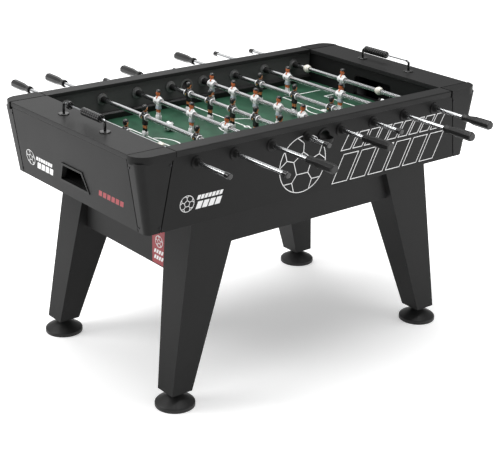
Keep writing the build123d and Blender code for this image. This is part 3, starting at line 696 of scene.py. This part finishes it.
def player_mesh(team):
    """A moulded player on the rod's axis, facing +X. The tables above are in millimetres."""
    bm = bmesh.new()
    loft(bm, [oval(0, 0, z * MM, x * MM, y * MM, 2.7, 28) for z, x, y in BODY_RINGS], SHIRT)
    loft(bm, [oval(0, 0, z * MM, x * MM, y * MM, 2.9, 28) for z, x, y in SHORT_RINGS], SHORTS)
    for side in (-1, 1):
        for rings, part in ((LEG_RINGS, SKIN), (SOCK_RINGS, SOCK)):
            loft(bm, [oval(0, side * LEG_OUT * MM, z * MM, r * MM, r * MM, 2.2, 16) for z, r in rings], part)
    loft(bm, [oval(0, 0, z * MM, x * MM, y * MM, 4.5, 28) for z, x, y in SHOE_RINGS], SHOE)
    turned(bm, [(r * MM, y * MM) for r, y in BOSS_PROFILE], SHIRT, 32)
    for side in (-1, 1):
        turned(bm, [(r * MM, side * y * MM) for r, y in CUFF_PROFILE], TRIM, 32)
    for rings, power, part in ((HEAD_RINGS, 2.1, SKIN), (HAIR_RINGS, 2.2, HAIR)):
        loft(bm, [oval(x * MM, 0, z * MM, a * MM, b * MM, power, 24) for z, x, a, b in rings], part)
    blobs = [(centre, halves, SKIN, 16) for centre, halves in NECK] + [NOSE, MOUTH]
    for side in (-1, 1):
        blobs.append(((0.6, side * 8.6, 29.6), (1.8, 1.1, 2.6), SKIN, 10))
        blobs.append(((8.3, side * 3.1, 31.8), (0.7, 1.1, 0.8), FEATURE, 8))
    front = 1 if team == "light" else -1
    x, y, z = BADGE_PLACE
    blobs.append(((front * x, front * y, z), (1.3, 3.1, 3.8), BADGE, 12))
    for centre, halves, part, count in blobs:
        blob(bm, Vector(centre) * MM, Vector(halves) * MM, part, count)
    mesh = finished_mesh(team + "_player", bm, 50.0)
    for finish in TEAMS[team]:
        mesh.materials.append(FINISHES[finish])
    return mesh


ROD_RADIUS = 8 * MM
STOP_SHARE = 0.92  # of the CAD stop's radius
STOP_LIP = 3 * MM
STOP_SPAN = 52  # degrees of the round rim on either side of its middle


def stop_mesh(radius, bore):
    """Round white stop that buffers the keeper's rod."""
    bm = bmesh.new()
    profile = [(bore, -0.86 * radius), (bore + STOP_LIP, -0.9 * radius)]
    turns = [radians(angle) for angle in range(-STOP_SPAN, STOP_SPAN + 1, 8)]
    profile += [(radius * cos(turn), radius * sin(turn)) for turn in turns]
    profile += [(bore + STOP_LIP, 0.9 * radius), (bore, 0.86 * radius)]
    turned(bm, profile, 0, 40)
    mesh = finished_mesh("keeper_stop", bm, 30.0)
    mesh.materials.append(FINISHES["stop"])
    return mesh


player_meshes = {team: player_mesh(team) for team in TEAMS}
stop = None
for k in RODS:
    low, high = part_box(f"rod_{k}")
    axis = (low + high) / 2
    grip_low = max(solid_boxes(f"grip_{k}"), key=lambda box: box[1].y - box[0].y)[0]
    team = "dark" if grip_low.y > 0 else "light"
    facing = Matrix.Rotation(0 if team == "dark" else pi, 4, "Z")
    for n, (low, high) in enumerate(sorted(solid_boxes(f"players_{k}"), key=lambda box: box[0].y)):
        where = Matrix.Translation((axis.x, (low.y + high.y) / 2, axis.z))
        if high.z - axis.z > axis.z - low.z - 2 * MM:  # as high as deep: a stop and no player
            stop = stop or stop_mesh(STOP_SHARE * (high.z - low.z) / 2, ROD_RADIUS)
            mesh = stop
        else:
            mesh, where = player_meshes[team], where @ facing
        add_piece(f"player_{k}_{n + 1}", mesh, f"rod_set_{k}", [], [f"players_{k}"], where)


# Ball

SEAM_DEPTH = 0.02
PANEL_RINGS = ((0.4, 0.0), (0.75, 0.0), (0.93, 0.1), (1.0, 1.0))  # way out, and way down the seam
BALL_POLE = Vector((-0.5, -0.8, 0.42))


def ball_mesh(radius):
    """Panelled ball: twelve dark pentagons between light hexagons, with sunk seams."""
    cage = bmesh.new()
    bmesh.ops.create_icosphere(cage, subdivisions=1, radius=1.0)
    third = max(edge.calc_length() for edge in cage.edges) / 3
    cut = {"offset": third, "offset_type": "OFFSET", "segments": 1, "affect": "VERTICES"}
    bmesh.ops.bevel(cage, geom=cage.verts[:], **cut)
    bm = bmesh.new()
    for panel in cage.faces:
        corners = [vert.co for vert in panel.verts]
        count = len(corners)
        middle = sum(corners, Vector()) / count
        edge = []
        for start, end in zip(corners, corners[1:] + corners[:1]):
            edge += [start.lerp(end, step / 3) for step in range(3)]
        hub = bm.verts.new(middle.normalized() * radius)
        rings = []
        for share, depth in PANEL_RINGS:
            reach = radius * (1 - SEAM_DEPTH * depth)
            rings.append([bm.verts.new(middle.lerp(point, share).normalized() * reach) for point in edge])
        faces = []
        for i in range(len(edge)):
            j = (i + 1) % len(edge)
            faces.append(bm.faces.new((hub, rings[0][i], rings[0][j])))
            for low, high in zip(rings, rings[1:]):
                faces.append(bm.faces.new((low[i], high[i], high[j], low[j])))
        for face in faces:
            face.material_index = int(count == 5)
    cage.free()
    bmesh.ops.remove_doubles(bm, verts=bm.verts, dist=JOIN)
    return finished_mesh("ball_panels", bm, 60.0)


low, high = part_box("ball")
middle = (low + high) / 2
ball = ball_mesh((high.z - low.z) / 2)
where = Matrix.Translation(middle) @ BALL_POLE.to_track_quat("Z", "Y").to_matrix().to_4x4()
add_piece("panelled_ball", ball, "ball_free", ["ball_white", "ball_black"], ["ball"], where)


# Score counters

BEAD_BORE = 2.7 * MM
BEAD_RIM = 0.22  # share of the radius that the rim's rounding takes
BEAD_FACE = ((0.5, 1.0), (0.56, 0.86), (0.72, 1.0))  # shares of the radius and of the half length
POST_EDGE = 0.6 * MM
RAIL_REACH = 3.0 * MM
POST_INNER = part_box("score_rails")[1].y - 16 * MM


def bead_mesh(radius, half, bore):
    """Turned bead with a rolled rim and a step at each face."""
    bm = bmesh.new()
    edge = BEAD_RIM * radius
    profile = [(bore, -half)] + [(out * radius, -along * half) for out, along in BEAD_FACE]
    for turn in [radians(angle) for angle in range(0, 91, 15)]:
        profile.append((radius - edge * (1 - sin(turn)), -half + edge * (1 - cos(turn))))
    profile += [(r, -y) for r, y in reversed(profile)]
    turned(bm, profile, 0, 36)
    return finished_mesh("turned_bead", bm, 40.0)


bead = None
for node in ("score_bead_left", "score_beads_left", "score_beads_right"):
    for n, (low, high) in enumerate(sorted(solid_boxes(node), key=lambda box: box[0].y)):
        size, middle = high - low, (low + high) / 2
        bead = bead or bead_mesh(size.z / 2, size.y / 2, BEAD_BORE)
        where = Matrix.Translation(middle)
        add_piece(f"{node}_{n + 1}", bead, node + "_run", ["bead"], [node], where)

rail_at = {}
for node in ("score_beads_left", "score_beads_right"):
    low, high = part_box(node)
    middle = (low + high) / 2
    rail_at[middle.x > 0] = middle


def on_rail(centre):
    """Whether a face lies on the thin rail and not on its posts."""
    off = centre - rail_at[centre.x > 0]
    return abs(off.x) < RAIL_REACH and abs(off.z) < RAIL_REACH and abs(centre.y) < POST_INNER


soften("score_rails", POST_EDGE, "post", other="thin_rail", belongs=on_rail)


# Floor, light and camera

FLOOR_REACH = 14.0
FLOOR_DROP = 0.2 * MM
# Glow of the floor under and beside the table: a painted shadow, darker under it.
PAINTED_SHADOW_UNDER = 0.28
PAINTED_SHADOW_BESIDE = 0.46
WORLD_STRENGTH = 0.3
LAMPS = {  # place, aim, size, power
    "overhead": ((0.2, 0.2, 3.8), (0, 0, 0.6), (3.0, 3.0), 150.0),
    "left_key": ((-2.6, 1.4, 2.6), (-0.5, 0, 0.7), (1.6, 1.6), 54.0),
    "back_box": ((0.3, 3.2, 2.4), (-0.4, 0, 0.9), (3.6, 2.2), 20.0),
    "front_fill": ((2.4, -3.4, 1.0), (0.2, -0.3, 0.3), (1.6, 1.0), 22.0),
}


def floor_with_painted_shadow():
    """Pale seamless paper that glows, with a painted shadow that darkens its glow under and beside the table,
    and brightens to white away from the table.
    """
    finish = Finish("pale_floor_painted_shadow", Roughness=0.9, Base_Color=shade(0.93), Emission_Strength=1.0)
    away = finish.node("ShaderNodeVectorMath", {"operation": "LENGTH"}, {0: finish.place()}, output=1)
    # Painted shadow: the floor's glow is lower near the table.
    painted_shadow = finish.blend(away.between(0.1, 1.0), shade(PAINTED_SHADOW_UNDER), shade(PAINTED_SHADOW_BESIDE))
    finish.feed("Emission Color", finish.blend(away.between(1.0, 2.4), painted_shadow, shade(1.0)))
    return finish.material


def area_light(name, place, aim, size, power):
    """Rectangular lamp that shines from its place towards the aim."""
    lamp = bpy.data.lights.new(name, "AREA")
    lamp.shape, lamp.size, lamp.size_y, lamp.energy = "RECTANGLE", size[0], size[1], power
    holder = bpy.data.objects.new(name, lamp)
    bpy.context.scene.collection.objects.link(holder)
    holder.location = place
    holder.rotation_euler = (Vector(aim) - Vector(place)).to_track_quat("-Z", "Y").to_euler()


floor_mesh = bpy.data.meshes.new("floor")
corners = [(x * FLOOR_REACH, y * FLOOR_REACH, 0) for x, y in ((-1, -1), (1, -1), (1, 1), (-1, 1))]
floor_mesh.from_pydata(corners, [], [(0, 1, 2, 3)])
floor = bpy.data.objects.new("floor", floor_mesh)
bpy.context.scene.collection.objects.link(floor)
FINISHES["floor"] = floor_with_painted_shadow()
floor_mesh.materials.append(FINISHES["floor"])
floor.location.z = -FLOOR_DROP

for name, (place, aim, size, power) in LAMPS.items():
    area_light(name, place, aim, size, power)

world = bpy.data.worlds.new("studio")
bpy.context.scene.world = world
world.use_nodes = True
background = world.node_tree.nodes["Background"]
background.inputs["Color"].default_value = (1, 1, 1, 1)
background.inputs["Strength"].default_value = WORLD_STRENGTH

CAMERA_PLACE = (-2.7918, -3.4623, 2.1195)
CAMERA_AIM = (0.58845, 0.72365, -0.36064)
CAMERA_ROLL = 0.0205  # radians
LENS = 93.4
SENSOR = 36.0

camera_data = bpy.data.cameras.new("camera")
camera_data.lens, camera_data.sensor_width = LENS, SENSOR
camera = bpy.data.objects.new("camera", camera_data)
bpy.context.scene.collection.objects.link(camera)
forward = Vector(CAMERA_AIM).normalized()
right = forward.cross(Vector((0, 0, 1))).normalized()
up = right.cross(forward)
rolled = right * cos(CAMERA_ROLL) + up * sin(CAMERA_ROLL)
facing = Matrix((rolled, rolled.cross(forward), -forward)).transposed().to_4x4()
camera.matrix_world = Matrix.Translation(CAMERA_PLACE) @ facing
bpy.context.scene.camera = camera
bpy.context.scene.view_settings.view_transform = "Standard"
